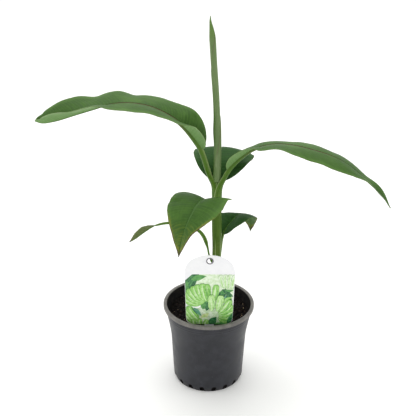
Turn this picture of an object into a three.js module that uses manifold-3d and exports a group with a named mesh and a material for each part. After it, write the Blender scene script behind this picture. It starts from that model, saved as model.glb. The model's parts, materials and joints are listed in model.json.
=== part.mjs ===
// A young banana plant in a round nursery pot, with its stick-in plant label.
// Units are millimetres, +Z is up and the origin is the middle of the pot's flat underside.

import * as THREE from "three";
import { mergeVertices } from "three/addons/utils/BufferGeometryUtils.js";
import Module from "manifold-3d";

const wasm = await Module();
wasm.setup();

// ---------------------------------------------------------------- driving dimensions

const GAP = 0.35; // clearance between solids that touch

const POT_HEIGHT = 112.7;
const POT_RIM_RADIUS = 60;
const POT_LIP_HEIGHT = 5;
const POT_FOOT_RADIUS = 46.3; // the wall's outside, just above the floor
const POT_FOOT_CHAMFER = 2.3;
const POT_TAPER = 6.1; // how much wider the straight wall is at the top
const POT_FLARE = 5.4; // how much more the top third spreads
const POT_FLARE_START = 62;
const POT_FLARE_END = 118;
const POT_WALL = 1.6;
const POT_LIP_ROUND = 1; // softened edges of the lip
const POT_LIP_WIDTH = 3.6; // flat top of the lip
const POT_FLOOR_RADIUS = 42;
const POT_LEVELS = [4, 32, 60, 72, 84, 96, 107.7]; // heights of the wall's facets
const POT_SEGMENTS = 40;
const DRAIN_SLOTS = 18;
const DRAIN_WIDTH = 6;
const DRAIN_HEIGHT = 5;
const DRAIN_INNER_RADIUS = 42.5; // how far in the slots reach
const DRAIN_DEPTH = 8;

const SOIL_TOP = 97;
const SOIL_BOTTOM = POT_WALL + GAP;
const SOIL_HEAPS = [1.2, 0.8]; // broad and narrow lumps
const SOIL_LEVEL_RADIUS = 16; // level up to here, heaped from the next radius on
const SOIL_HEAPED_RADIUS = 30;

const LABEL_X = 0.9;
const LABEL_Y = -40; // the label stands near the front of the pot
const LABEL_TOP = 206;
const LABEL_SHOULDER = 182;
const LABEL_FOOT = 100.5;
const LABEL_HALF_WIDTH = 32;
const LABEL_FOOT_HALF_WIDTH = 30;
const LABEL_THICKNESS = 0.9;
const LABEL_CORNER = 11;
const LABEL_HOLE_RADIUS = 3.2;
const LABEL_HOLE_DROP = 8; // from the top edge to the hole's middle
const LABEL_STAKE_HALF_WIDTH = 6;
const LABEL_STAKE_DEPTH = 45;
const LABEL_POINT_HEIGHT = 14;

const FORK_HEIGHT = 290; // where the rolled new leaf leaves the pseudostem
const PLANT_X = 9; // leaf routes are measured out from this upright axis

const BLADE_THICKNESS = 0.9;
const RIB_SHARE = 0.76; // blade and midrib together at the leaf's base, against the stalk's radius
const RIB_TIP_THICKNESS = 1.1;
const LEAST_HALF_WIDTH = 1;
const STALK_SIDES = 10;
const STALK_TAPER = 0.82; // a stalk's thickness where it meets the blade, against its foot

const COLOURS = {
  pot: 0x3f4045,
  soil: 0x241c17,
  label: 0xe9ebe8,
  stem: 0x8fa05a,
  spear: 0x8fa07c,
  stalk: 0x86a94b,
  blade: 0x47713c,
  darkBlade: 0x2f5238,
  oldBlade: 0x5d6a3d,
};

// The midrib of a leaf is a smooth route of [out, side, up]: out from the plant's axis along
// the heading, side to the left of the heading, up from the floor. The heading is in degrees
// from +X towards +Y. Each row of folds is [share of the blade, lift of its left half, lift of
// its right half], in degrees above level.
const LEAVES = [
  {
    name: "left_leaf",
    heading: 180,
    route: [
      [0, 0, 262], [5, 0, 282], [9, 0, 295], [13, 0, 308], [17, 0, 321], [21.5, 0, 333],
      [29, 0, 345], [41, 0, 360.5], [58, 0, 375.5], [82, 0, 387.5], [106, 0, 391.5],
      [130, 0, 389.5], [152, 0, 382.5], [174, 0, 375], [196, 0, 367.5], [213, 0, 364.5],
      [221.5, 0, 367],
    ],
    stalkShare: 0.24,
    splitShare: 0.52,
    halfWidths: [35, 35],
    baseShare: 0.3,
    tipShare: 0.42,
    tipPower: 3.2,
    tipRound: 0.5,
    stalkRadius: 4.3,
    folds: [
      [0, 50, 56], [0.14, 35, 39], [0.22, 14, 17], [0.3, 10, 5], [0.45, 3, -3], [0.57, 8, 7],
      [0.65, 23, 6], [0.78, 29, 24], [0.9, 42, 36], [1, 42, 36],
    ],
    colour: "blade",
  },
  {
    name: "right_leaf",
    heading: 0,
    route: [
      [0, -3, 256], [3, -5, 279], [8, -4, 294.5], [13, -2, 304], [21, 0, 314], [30, 0, 323],
      [40, 0, 331], [53, 0, 337], [70, 0, 340.5], [94, 0, 339], [116, 0, 333.5], [138, 0, 326.5],
      [156, 0, 317.5], [174, 0, 303.5], [190, 0, 288.5], [206, 0, 273], [219, 0, 254.5],
    ],
    stalkShare: 0.17,
    splitShare: 0.53,
    halfWidths: [33, 33],
    baseShare: 0.4,
    tipShare: 0.44,
    tipPower: 1.6,
    stalkRadius: 4,
    folds: [
      [0, 20, 60], [0.06, 8, 48], [0.12, -6, 38], [0.17, -13, 27], [0.21, -14, 13],
      [0.3, -17, 7], [0.37, -16, -1], [0.5, -10, -6], [0.6, -9, -11], [0.7, -2, -5],
      [0.8, 2, 11], [0.92, 27, 0], [1, 30, 0],
    ],
    colour: "blade",
  },
  {
    name: "back_leaf",
    heading: 85,
    route: [
      [2, 0, 262], [6, 0, 282], [14, 0, 298], [26, 0, 310], [40, 0, 315.5], [56, 0, 313],
      [74, 0, 303.5], [92, 0, 290], [108, 0, 274.5], [122, 0, 258],
    ],
    stalkShare: 0.14,
    splitShare: 0.5,
    halfWidths: [34.5, 44.5],
    baseShare: 0.34,
    tipShare: 0.3,
    tipPower: 1.5,
    stalkRadius: 3.4,
    folds: [[0, 30, 30], [0.15, 8, 6], [0.3, -8, -10], [0.7, -10, -12], [1, 0, 0]],
    colour: "darkBlade",
  },
  {
    name: "front_leaf",
    heading: -115,
    route: [
      [2, 0, 238], [8, 0, 252], [17, 0, 264], [28, 0, 275], [38, 0, 281.5], [48, 0, 283.5],
      [60, 0, 281.5], [72, 0, 276.5], [84, 0, 269.5], [95, 0, 259.5], [102, 0, 249], [107, 0, 235],
    ],
    stalkShare: 0.3,
    splitShare: 0.45,
    halfWidths: [36, 39],
    baseShare: 0.12,
    tipShare: 0.33,
    tipPower: 1.28,
    stalkRadius: 3,
    folds: [
      [0, 14, 13], [0.08, 11, 3], [0.2, 11, -4], [0.35, 5, -9], [0.5, 7, -6], [0.6, 12, -9],
      [0.75, 30, -17], [1, 42, -24],
    ],
    colour: "blade",
  },
  {
    name: "lower_right_leaf",
    heading: 50,
    route: [
      [3, 0, 170], [8.5, 0, 192], [10, 0, 201], [13, 0, 209], [19, 0, 216], [28, 0, 221],
      [38, 0, 225], [48, 0, 226], [58, 0, 222.5], [66, 0, 214], [70, 0, 203], [71, 0, 191],
    ],
    stalkShare: 0.32,
    splitShare: 0.52,
    halfWidths: [27, 27],
    baseShare: 0.55,
    tipShare: 0.45,
    tipPower: 1.1,
    stalkRadius: 2.4,
    folds: [
      [0, 10, 25], [0.3, -2, 16], [0.42, -12, 10], [0.55, -22, 2], [0.8, -10, -8], [1, 15, 15],
    ],
    colour: "darkBlade",
  },
  {
    name: "lower_left_leaf",
    heading: 190,
    route: [
      [3, 0, 166], [8.5, 0, 182], [11.5, 0, 198], [15.5, 0, 212], [22, 0, 222], [35, 0, 230.5],
      [50, 0, 235.5], [65, 0, 236.5], [79, 0, 232], [92, 0, 224.5], [104, 0, 216.5],
      [112, 0, 212.5],
    ],
    stalkShare: 0.76,
    splitShare: 0.5,
    halfWidths: [13, 13],
    baseShare: 0.6,
    tipShare: 0.5,
    tipPower: 1.6,
    stalkRadius: 1.5,
    folds: [[0, 34, -20], [0.4, 54, 4], [1, 50, 5]],
    colour: "oldBlade",
  },
];

// ---------------------------------------------------------------- solids from rings

const radians = THREE.MathUtils.degToRad;
const up = new THREE.Vector3(0, 0, 1);

// A closed body skinned over rings of equal point count. The ends are closed by a strip that
// zigzags between the ring's first and second half, which suits round and flat rings alike.
function loft(rings) {
  const count = rings[0].length;
  const triangles = [];
  for (let ring = 0; ring < rings.length - 1; ring++) {
    for (let i = 0; i < count; i++) {
      const a = ring * count + i;
      const b = ring * count + ((i + 1) % count);
      triangles.push(a, b, b + count, a, b + count, a + count);
    }
  }
  const last = (rings.length - 1) * count;
  for (let i = 0, j = count - 1; i < j; i++, j--) {
    if (i + 1 < j) {
      triangles.push(i, j, i + 1);
      triangles.push(last + i, last + i + 1, last + j);
    }
    if (i + 1 < j - 1) {
      triangles.push(i + 1, j, j - 1);
      triangles.push(last + i + 1, last + j - 1, last + j);
    }
  }
  const geometry = new THREE.BufferGeometry();
  geometry.setAttribute("position", new THREE.Float32BufferAttribute(
    rings.flat().flatMap((point) => point.toArray()), 3));
  geometry.setIndex(triangles);
  return facingOut(geometry);
}

function signedVolume(geometry) {
  const [a, b, c] = [new THREE.Vector3(), new THREE.Vector3(), new THREE.Vector3()];
  const { position } = geometry.attributes;
  const index = geometry.index.array;
  let volume = 0;
  for (let i = 0; i < index.length; i += 3) {
    a.fromBufferAttribute(position, index[i]);
    b.fromBufferAttribute(position, index[i + 1]);
    c.fromBufferAttribute(position, index[i + 2]);
    volume += a.dot(b.cross(c)) / 6;
  }
  return volume;
}

function facingOut(geometry) {
  if (signedVolume(geometry) < 0) {
    geometry.setIndex(Array.from(geometry.index.array).reverse());
  }
  return geometry;
}

function toSolid(geometry) {
  const bare = geometry.clone();
  for (const name of Object.keys(bare.attributes)) {
    if (name !== "position") bare.deleteAttribute(name);
  }
  const merged = facingOut(mergeVertices(bare, 1e-4));
  return new wasm.Manifold(new wasm.Mesh({
    numProp: 3,
    vertProperties: new Float32Array(merged.attributes.position.array),
    triVerts: new Uint32Array(merged.index.array),
  }));
}

// The largest body of a solid, as a geometry: crumbs that a cut leaves are dropped.
function toGeometry(solid) {
  const bodies = solid.decompose().sort((p, q) => q.volume() - p.volume());
  const { numProp, vertProperties, triVerts } = bodies[0].getMesh();
  const points = [];
  for (let i = 0; i < vertProperties.length; i += numProp) {
    points.push(vertProperties[i], vertProperties[i + 1], vertProperties[i + 2]);
  }
  const geometry = new THREE.BufferGeometry();
  geometry.setAttribute("position", new THREE.Float32BufferAttribute(points, 3));
  geometry.setIndex(Array.from(triVerts));
  return geometry;
}

function cutBy(geometry, cutters) {
  const cut = (solid, cutter) => solid.subtract(toSolid(cutter));
  return toGeometry(cutters.reduce(cut, toSolid(geometry)));
}

// A round tapering limb along a curve, between two shares of its length.
function limb(curve, from, to, stations, sides, radiusAt, lateral) {
  const rings = [];
  for (let k = 0; k <= stations; k++) {
    const share = THREE.MathUtils.lerp(from, to, k / stations);
    const centre = curve.getPointAt(share);
    const { side, top } = frameAt(curve, share, lateral);
    const radius = radiusAt(share);
    const ring = [];
    for (let i = 0; i < sides; i++) {
      const angle = (i / sides) * 2 * Math.PI;
      ring.push(centre.clone()
        .addScaledVector(side, radius * Math.cos(angle))
        .addScaledVector(top, radius * Math.sin(angle)));
    }
    rings.push(ring);
  }
  return loft(rings);
}

// The directions across a curve: side stays near a fixed lateral direction, top is square to it.
function frameAt(curve, share, lateral) {
  const along = curve.getTangentAt(share);
  const side = lateral.clone().addScaledVector(along, -lateral.dot(along)).normalize();
  const top = along.clone().cross(side);
  return { side, top };
}

// ---------------------------------------------------------------- pot, soil and label

// Outside radius of the pot wall: a straight taper that flares in the top third.
function potRadius(height) {
  const straight = POT_FOOT_RADIUS + (height / POT_HEIGHT) * POT_TAPER;
  const flare = THREE.MathUtils.smoothstep(height, POT_FLARE_START, POT_FLARE_END);
  return straight + flare * POT_FLARE;
}

function makePot() {
  const lipBottom = POT_HEIGHT - POT_LIP_HEIGHT;
  const outside = POT_LEVELS.map((z) => [potRadius(z), z]);
  const inside = POT_LEVELS.map((z) => [potRadius(z) - POT_WALL, z]).reverse();
  const profile = [
    [0, 0], [POT_FOOT_RADIUS - POT_FOOT_CHAMFER, 0], ...outside,
    [POT_RIM_RADIUS - POT_LIP_ROUND / 2, lipBottom],
    [POT_RIM_RADIUS, lipBottom + POT_LIP_ROUND],
    [POT_RIM_RADIUS, POT_HEIGHT - POT_LIP_ROUND],
    [POT_RIM_RADIUS - POT_LIP_ROUND, POT_HEIGHT],
    [POT_RIM_RADIUS - POT_LIP_WIDTH, POT_HEIGHT],
    [POT_RIM_RADIUS - POT_LIP_WIDTH - POT_LIP_ROUND, POT_HEIGHT - POT_LIP_ROUND],
    ...inside, [POT_FLOOR_RADIUS, POT_WALL], [0, POT_WALL],
  ];
  const wall = new THREE.LatheGeometry(
    profile.map(([r, z]) => new THREE.Vector2(r, z)), POT_SEGMENTS);
  wall.rotateX(Math.PI / 2);

  const arch = new THREE.Shape();
  const spring = DRAIN_HEIGHT - DRAIN_WIDTH / 3; // where the arch starts
  arch.moveTo(-DRAIN_WIDTH / 2, -1);
  arch.lineTo(DRAIN_WIDTH / 2, -1);
  arch.lineTo(DRAIN_WIDTH / 2, spring);
  arch.lineTo(DRAIN_WIDTH / 4, DRAIN_HEIGHT);
  arch.lineTo(-DRAIN_WIDTH / 4, DRAIN_HEIGHT);
  arch.lineTo(-DRAIN_WIDTH / 2, spring);
  const slots = [];
  for (let k = 0; k < DRAIN_SLOTS; k++) {
    const slot = new THREE.ExtrudeGeometry(arch, { depth: DRAIN_DEPTH, bevelEnabled: false });
    slot.rotateX(Math.PI / 2);
    slot.translate(0, -DRAIN_INNER_RADIUS, 0);
    slot.rotateZ(((k - 0.5) / DRAIN_SLOTS) * 2 * Math.PI);
    slots.push(slot);
  }
  return cutBy(wall, slots);
}

// Height of the soil: slightly heaped and lumpy, but level round the plant and the label.
function soilHeight(radius, angle) {
  const [broad, narrow] = SOIL_HEAPS;
  const lumps = broad * Math.sin(3 * angle + 0.6) + narrow * Math.sin(7 * angle + radius / 6);
  const away = THREE.MathUtils.smoothstep(radius, SOIL_LEVEL_RADIUS, SOIL_HEAPED_RADIUS);
  return SOIL_TOP + away * lumps;
}

function makeSoil(labelBlade) {
  const radiusInside = (z) => potRadius(z) - POT_WALL - GAP;
  const ringOf = (radius, heightAt) => Array.from({ length: POT_SEGMENTS }, (_, i) => {
    const angle = (i / POT_SEGMENTS) * 2 * Math.PI;
    return new THREE.Vector3(
      radius * Math.cos(angle), radius * Math.sin(angle), heightAt(radius, angle));
  });
  const wallLevels = POT_LEVELS.filter((z) => z < SOIL_TOP - 3);
  const rings = [
    ringOf(POT_FLOOR_RADIUS - 1, () => SOIL_BOTTOM),
    ...wallLevels.map((z) => ringOf(radiusInside(z), () => z)),
    ...[radiusInside(SOIL_TOP - 5), 42, SOIL_HEAPED_RADIUS, SOIL_LEVEL_RADIUS + 1].map(
      (radius) => ringOf(radius, soilHeight)),
  ];
  const body = loft(rings);
  return cutBy(body, [labelBlade(GAP)]);
}

// The label: an arched plate with a punched hole, narrowing to a pointed stake in the soil.
function makeLabel(clearance) {
  const outline = new THREE.Shape();
  const half = LABEL_HALF_WIDTH + clearance;
  const foot = LABEL_FOOT_HALF_WIDTH + clearance;
  const stake = LABEL_STAKE_HALF_WIDTH + clearance;
  const bottom = LABEL_FOOT - clearance;
  const corner = LABEL_CORNER;
  const tip = SOIL_TOP - LABEL_STAKE_DEPTH;
  outline.moveTo(-half, LABEL_SHOULDER);
  outline.lineTo(-foot, bottom + corner);
  outline.quadraticCurveTo(-foot, bottom, -foot + corner, bottom);
  outline.lineTo(-stake, bottom);
  outline.lineTo(-stake, tip + LABEL_POINT_HEIGHT);
  outline.lineTo(0, tip - clearance);
  outline.lineTo(stake, tip + LABEL_POINT_HEIGHT);
  outline.lineTo(stake, bottom);
  outline.lineTo(foot - corner, bottom);
  outline.quadraticCurveTo(foot, bottom, foot, bottom + corner);
  outline.lineTo(half, LABEL_SHOULDER);
  outline.quadraticCurveTo(half - 1, LABEL_TOP - 11, half - 12, LABEL_TOP - 5);
  outline.quadraticCurveTo(half - 20, LABEL_TOP, 0, LABEL_TOP);
  outline.quadraticCurveTo(-half + 20, LABEL_TOP, -half + 12, LABEL_TOP - 5);
  outline.quadraticCurveTo(-half + 1, LABEL_TOP - 11, -half, LABEL_SHOULDER);
  if (clearance === 0) {
    const hole = new THREE.Path();
    hole.absarc(0, LABEL_TOP - LABEL_HOLE_DROP, LABEL_HOLE_RADIUS, 0, 2 * Math.PI, true);
    outline.holes.push(hole);
  }
  const depth = LABEL_THICKNESS + 2 * clearance;
  const plate = new THREE.ExtrudeGeometry(outline, { depth, bevelEnabled: false, curveSegments: 6 });
  plate.translate(0, 0, -depth / 2);
  plate.rotateX(Math.PI / 2);
  plate.translate(LABEL_X, LABEL_Y, 0);
  return plate;
}

// ---------------------------------------------------------------- the plant

const stemCurve = new THREE.CatmullRomCurve3([
  new THREE.Vector3(PLANT_X + 1.8, 0, SOIL_TOP + GAP),
  new THREE.Vector3(PLANT_X + 0.9, 0, 150),
  new THREE.Vector3(PLANT_X + 0.1, 0, 220),
  new THREE.Vector3(PLANT_X - 0.5, 0, FORK_HEIGHT),
]);

const spearCurve = new THREE.CatmullRomCurve3([
  new THREE.Vector3(PLANT_X - 0.5, 0, FORK_HEIGHT + GAP),
  new THREE.Vector3(PLANT_X - 0.5, 0, 345),
  new THREE.Vector3(PLANT_X - 2.5, 0, 396),
  new THREE.Vector3(PLANT_X - 6.2, 0, 444),
  new THREE.Vector3(PLANT_X - 8.4, 0, 475),
  new THREE.Vector3(PLANT_X - 10.6, 0, 493),
  new THREE.Vector3(PLANT_X - 10.4, 0, 498),
]);

// Interpolates rows of [share, value, ...] linearly, easing at each row.
function keyed(rows, share, column) {
  let k = 0;
  while (k < rows.length - 2 && share > rows[k + 1][0]) k++;
  const [low, high] = [rows[k], rows[k + 1]];
  const ease = THREE.MathUtils.smoothstep(share, low[0], high[0]);
  return THREE.MathUtils.lerp(low[column], high[column], ease);
}

// Radius of the pseudostem: a swollen foot, a waist, and sheaths that thicken to the fork.
const STEM_RADII = [[0, 9.6], [0.1, 8.6], [0.25, 7.2], [0.45, 6], [0.75, 6.4], [1, 7]];
const SPEAR_RADII = [[0, 5.4], [0.12, 4.9], [0.35, 4.4], [0.5, 4], [0.86, 3.8], [0.96, 1.4], [1, 0.4]];

function makeStem(clearance) {
  const radiusAt = (share) => keyed(STEM_RADII, share, 1) + clearance;
  return limb(stemCurve, 0, 1, 14, 16, radiusAt, new THREE.Vector3(1, 0, 0));
}

function makeSpear(clearance) {
  const radiusAt = (share) => keyed(SPEAR_RADII, share, 1) + clearance;
  return limb(spearCurve, 0, 1, 18, 12, radiusAt, new THREE.Vector3(1, 0, 0));
}

function leafCurve(leaf) {
  const heading = radians(leaf.heading);
  const out = new THREE.Vector3(Math.cos(heading), Math.sin(heading), 0);
  const lateral = up.clone().cross(out);
  const points = leaf.route.map(([along, side, height]) => new THREE.Vector3(PLANT_X, 0, height)
    .addScaledVector(out, along)
    .addScaledVector(lateral, side));
  return { curve: new THREE.CatmullRomCurve3(points, false, "centripetal"), lateral };
}

// Half width of a blade: an elliptical base, near parallel sides and a drawn-out tip.
function halfWidthAt(leaf, share, isLeft) {
  const base = Math.sqrt(1 - (1 - Math.min(share / leaf.baseShare, 1)) ** 2);
  const past = Math.max((share - leaf.tipShare) / (1 - leaf.tipShare), 0);
  const tip = (1 - past ** leaf.tipPower) ** (leaf.tipRound ?? 1);
  const fullWidth = leaf.halfWidths[isLeft ? 0 : 1];
  return Math.max(fullWidth * base * tip, LEAST_HALF_WIDTH);
}

// One point of a blade's upper face. across runs from -1, the right margin, to 1, the left.
function bladePoint(leaf, curve, lateral, share, across) {
  const place = Math.min(leaf.stalkShare + share * (1 - leaf.stalkShare), 1);
  const centre = curve.getPointAt(place);
  const { side, top } = frameAt(curve, place, lateral);
  const hand = across < 0 ? -1 : 1;
  const lift = radians(keyed(leaf.folds, share, hand > 0 ? 1 : 2));
  const reach = Math.abs(across) * halfWidthAt(leaf, share, hand > 0);
  const point = centre
    .addScaledVector(side, hand * reach * Math.cos(lift))
    .addScaledVector(top, reach * Math.sin(lift));
  const tilt = across === 0 ? 0 : lift;
  const normal = top.clone().multiplyScalar(Math.cos(tilt))
    .addScaledVector(side, -hand * Math.sin(tilt));
  return { point, normal };
}

function makeBlade(leaf, curve, lateral, from, to, stations) {
  const columns = [-1, -0.66, -0.33, -0.07, 0, 0.07, 0.33, 0.66, 1];
  const rings = [];
  for (let k = 0; k <= stations; k++) {
    const share = THREE.MathUtils.lerp(from, to, k / stations);
    const upper = [];
    const lower = [];
    for (const across of columns) {
      const { point, normal } = bladePoint(leaf, curve, lateral, share, across);
      const rib = THREE.MathUtils.lerp(leaf.stalkRadius * RIB_SHARE, RIB_TIP_THICKNESS, share);
      const thickness = across === 0 ? rib : BLADE_THICKNESS;
      upper.push(point);
      lower.unshift(point.clone().addScaledVector(normal, -thickness));
    }
    rings.push([...upper, ...lower]);
  }
  return loft(rings);
}

function makeLeaf(leaf, cutters) {
  const { curve, lateral } = leafCurve(leaf);
  const length = curve.getLength();
  const slip = GAP / 2 / length;
  const bladeSlip = slip / (1 - leaf.stalkShare);
  const radiusAt = (share) => THREE.MathUtils.lerp(
    leaf.stalkRadius, leaf.stalkRadius * STALK_TAPER, share / leaf.stalkShare);
  const stalk = limb(curve, 0, leaf.stalkShare - slip, 8, STALK_SIDES, radiusAt, lateral);
  const inner = makeBlade(leaf, curve, lateral, bladeSlip, leaf.splitShare - bladeSlip, 9);
  const outer = makeBlade(leaf, curve, lateral, leaf.splitShare + bladeSlip, 1, 9);
  return {
    [`${leaf.name}_stalk`]: [cutBy(stalk, cutters), "stalk"],
    [`${leaf.name}_blade_inner`]: [cutBy(inner, cutters), leaf.colour],
    [`${leaf.name}_blade_outer`]: [outer, leaf.colour],
  };
}

// ---------------------------------------------------------------- the scene graph

const group = new THREE.Group();

function addPart(name, geometry, colour, roughness) {
  const material = new THREE.MeshStandardMaterial({
    color: COLOURS[colour],
    roughness,
    metalness: 0,
  });
  const mesh = new THREE.Mesh(geometry, material);
  mesh.name = name;
  group.add(mesh);
}

addPart("pot", makePot(), "pot", 0.6);
addPart("potting_soil", makeSoil(makeLabel), "soil", 0.95);
addPart("plant_label", makeLabel(0), "label", 0.4);
addPart("pseudostem", makeStem(0), "stem", 0.5);
addPart("spear_leaf", makeSpear(0), "spear", 0.5);

const core = [makeStem(GAP), makeSpear(GAP)];
for (const leaf of LEAVES) {
  for (const [name, [geometry, colour]] of Object.entries(makeLeaf(leaf, core))) {
    addPart(name, geometry, colour, 0.5);
  }
}

export default group;
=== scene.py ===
"""A young banana plant in a black nursery pot: the looks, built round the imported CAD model.

Lengths in the tables are millimetres in the part's own frame, and MM turns them into metres.
"""

import json
import math

import bpy
import bmesh
import numpy as np
from mathutils import Matrix, Vector


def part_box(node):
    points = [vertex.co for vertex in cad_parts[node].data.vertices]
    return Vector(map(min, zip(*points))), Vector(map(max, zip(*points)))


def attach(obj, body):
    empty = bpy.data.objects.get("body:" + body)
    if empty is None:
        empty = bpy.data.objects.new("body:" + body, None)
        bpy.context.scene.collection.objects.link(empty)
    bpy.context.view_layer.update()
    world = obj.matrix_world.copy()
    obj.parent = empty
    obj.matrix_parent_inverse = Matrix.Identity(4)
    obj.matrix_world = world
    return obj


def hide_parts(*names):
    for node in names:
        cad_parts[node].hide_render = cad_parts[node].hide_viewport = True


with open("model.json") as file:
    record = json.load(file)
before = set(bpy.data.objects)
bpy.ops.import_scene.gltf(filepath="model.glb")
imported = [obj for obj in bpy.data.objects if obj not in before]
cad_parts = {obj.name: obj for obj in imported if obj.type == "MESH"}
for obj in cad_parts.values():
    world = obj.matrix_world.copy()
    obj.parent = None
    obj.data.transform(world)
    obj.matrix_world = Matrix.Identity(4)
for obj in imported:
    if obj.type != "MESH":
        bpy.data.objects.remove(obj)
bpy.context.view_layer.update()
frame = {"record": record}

MM = 0.001
SLOTS = {row["slot"] for row in frame["record"]["materials"]}


# ---------------------------------------------------------------- numbers

def mix(a, b, share):
    return a + (b - a) * share


def ease(value, low, high):
    """0 below low, 1 above high, and a smooth step between them."""
    share = np.clip((np.asarray(value, float) - low) / (high - low), 0, 1)
    return share * share * (3 - 2 * share)


def keyed(rows, share, column=1):
    """A smooth curve through rows of [share, value, ...] that never overshoots them."""
    rows = np.array(rows, float)
    place, value = rows[:, 0], rows[:, column]
    slope = np.diff(value) / np.diff(place)
    same_way = slope[1:] * slope[:-1] > 0
    both = np.where(same_way, slope[1:] + slope[:-1], 1)
    tangent = np.zeros(len(rows))
    tangent[1:-1] = same_way * 2 * slope[1:] * slope[:-1] / both
    tangent[0], tangent[-1] = slope[0], slope[-1]
    k = np.clip(np.searchsorted(place, share, side="right") - 1, 0, len(rows) - 2)
    span = place[k + 1] - place[k]
    t = np.clip((share - place[k]) / span, 0, 1)
    return (
        (2 * t**3 - 3 * t**2 + 1) * value[k]
        + (t**3 - 2 * t**2 + t) * span * tangent[k]
        + (3 * t**2 - 2 * t**3) * value[k + 1]
        + (t**3 - t**2) * span * tangent[k + 1]
    )


def rumple(points, wavelength, seed, waves=24):
    """Smooth random relief, mostly within -1 to 1, made of plane waves in random directions."""
    draw = np.random.default_rng(seed)
    directions = draw.normal(size=(waves, 3))
    directions /= np.linalg.norm(directions, axis=1)[:, None]
    pitch = 2 * np.pi / (wavelength * draw.uniform(0.6, 1.6, waves))
    phase = draw.uniform(0, 2 * np.pi, waves)
    return np.sin(points @ (directions * pitch[:, None]).T + phase).sum(-1) / math.sqrt(waves)


def unit(vectors):
    return vectors / np.linalg.norm(vectors, axis=-1, keepdims=True)


class Route:
    """A smooth centripetal curve through a few points, read by its share of arc length."""

    STEPS = 2400

    def __init__(self, points, lateral):
        points = np.array(points, float)
        padded = np.vstack([2 * points[0] - points[1], points, 2 * points[-1] - points[-2]])
        gap = np.sqrt(np.linalg.norm(np.diff(padded, axis=0), axis=1))
        t = np.linspace(0, len(points) - 1, self.STEPS)
        k = np.minimum(t.astype(int), len(points) - 2)
        w = (t - k)[:, None]
        before, first, second, after = (padded[k + i] for i in range(4))
        d0, d1, d2 = (gap[k + i][:, None] for i in range(3))
        leave = (first - before) / d0 - (second - before) / (d0 + d1) + (second - first) / d1
        arrive = (second - first) / d1 - (after - first) / (d1 + d2) + (after - second) / d2
        leave, arrive = leave * d1, arrive * d1
        bend = -3 * first + 3 * second - 2 * leave - arrive
        self.points = first + leave * w + bend * w**2 + (2 * first - 2 * second + leave + arrive) * w**3
        steps = np.linalg.norm(np.diff(self.points, axis=0), axis=1)
        self.length = steps.sum()
        self.shares = np.r_[0, np.cumsum(steps)] / self.length
        self.lateral = np.array(lateral, float)

    def at(self, share):
        return np.stack([np.interp(share, self.shares, self.points[:, i]) for i in range(3)], -1)

    def frame(self, share):
        """Directions across the curve: side, near the fixed lateral direction, and top."""
        step = 2e-3
        along = unit(self.at(np.minimum(share + step, 1)) - self.at(np.maximum(share - step, 0)))
        side = unit(self.lateral - along * (along @ self.lateral)[..., None])
        return side, np.cross(along, side)


# ---------------------------------------------------------------- meshes

def loft(rings):
    """Vertices in metres, quads and corner UVs of a closed body skinned over rings in millimetres.

    A ring has an even point count, and each end is closed by quads across the ring, from its
    first half to its second. The faces look outward.
    """
    count, columns = rings.shape[:2]
    k, j = np.meshgrid(np.arange(count - 1), np.arange(columns), indexing="ij")
    a = k * columns + j
    b = k * columns + (j + 1) % columns
    sides = np.stack([a, b, b + columns, a + columns], -1).reshape(-1, 4)
    u, v = j / columns, k / (count - 1)
    du, dv = 1 / columns, 1 / (count - 1)
    side_uv = np.stack(
        [np.stack([u + x * du, v + y * dv], -1) for x, y in ((0, 0), (1, 0), (1, 1), (0, 1))], -2
    ).reshape(-1, 4, 2)
    i = np.arange(columns // 2 - 1)
    start = np.stack([i, columns - 1 - i, columns - 2 - i, i + 1], -1)
    end = start[:, ::-1] + (count - 1) * columns
    quads = np.vstack([sides, start, end])
    uv = np.vstack([side_uv, np.zeros((2 * len(start), 4, 2))])
    vertices = rings.reshape(-1, 3) * MM
    a, b, c, d = (vertices[quads[:, i]] for i in range(4))
    volume = (a * np.cross(b, c)).sum() + (a * np.cross(c, d)).sum()
    if volume < 0:
        quads, uv = quads[:, ::-1], uv[:, ::-1]
    return vertices, quads, uv


def join(bodies):
    """One set of vertices, quads and UVs from several."""
    vertices, quads, uvs, start = [], [], [], 0
    for points, faces, uv in bodies:
        vertices.append(points)
        quads.append(faces + start)
        uvs.append(uv)
        start += len(points)
    return np.vstack(vertices), np.vstack(quads), np.vstack(uvs)


def to_mesh(name, body, sharp_angle=50.0):
    vertices, quads, uv = body
    mesh = bpy.data.meshes.new(name)
    mesh.from_pydata(vertices.tolist(), [], quads.tolist())
    layer = mesh.uv_layers.new(name="OFBake")
    layer.uv.foreach_set("vector", uv.astype(np.float32).ravel())
    mesh.polygons.foreach_set("use_smooth", np.ones(len(mesh.polygons), bool))
    mesh.set_sharp_from_angle(angle=math.radians(sharp_angle))
    return mesh


def set_attributes(mesh, **attributes):
    """Gives every vertex a number for each named attribute."""
    for name, values in attributes.items():
        layer = mesh.attributes.new(name, "FLOAT", "POINT")
        layer.data.foreach_set("value", np.asarray(values, np.float32).ravel())


def add_object(name, data):
    thing = bpy.data.objects.new(name, data)
    bpy.context.scene.collection.objects.link(thing)
    return thing


def add_piece(name, mesh, materials, slot, *nodes):
    """Makes the mesh a piece of the object with the given materials, standing for nodes; the slot is
    only checked.
    """
    assert slot in SLOTS
    piece = add_object(name, mesh)
    for material in materials:
        mesh.materials.append(material)
    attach(piece, "root")
    if nodes:
        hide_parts(*nodes)
    return piece


# ---------------------------------------------------------------- materials

def colour(code):
    """A linear RGBA colour from an sRGB code such as 3c3d42."""
    parts = [int(code[i : i + 2], 16) / 255 for i in (0, 2, 4)]
    linear = [c / 12.92 if c <= 0.04045 else ((c + 0.055) / 1.055) ** 2.4 for c in parts]
    return (*linear, 1.0)


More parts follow.
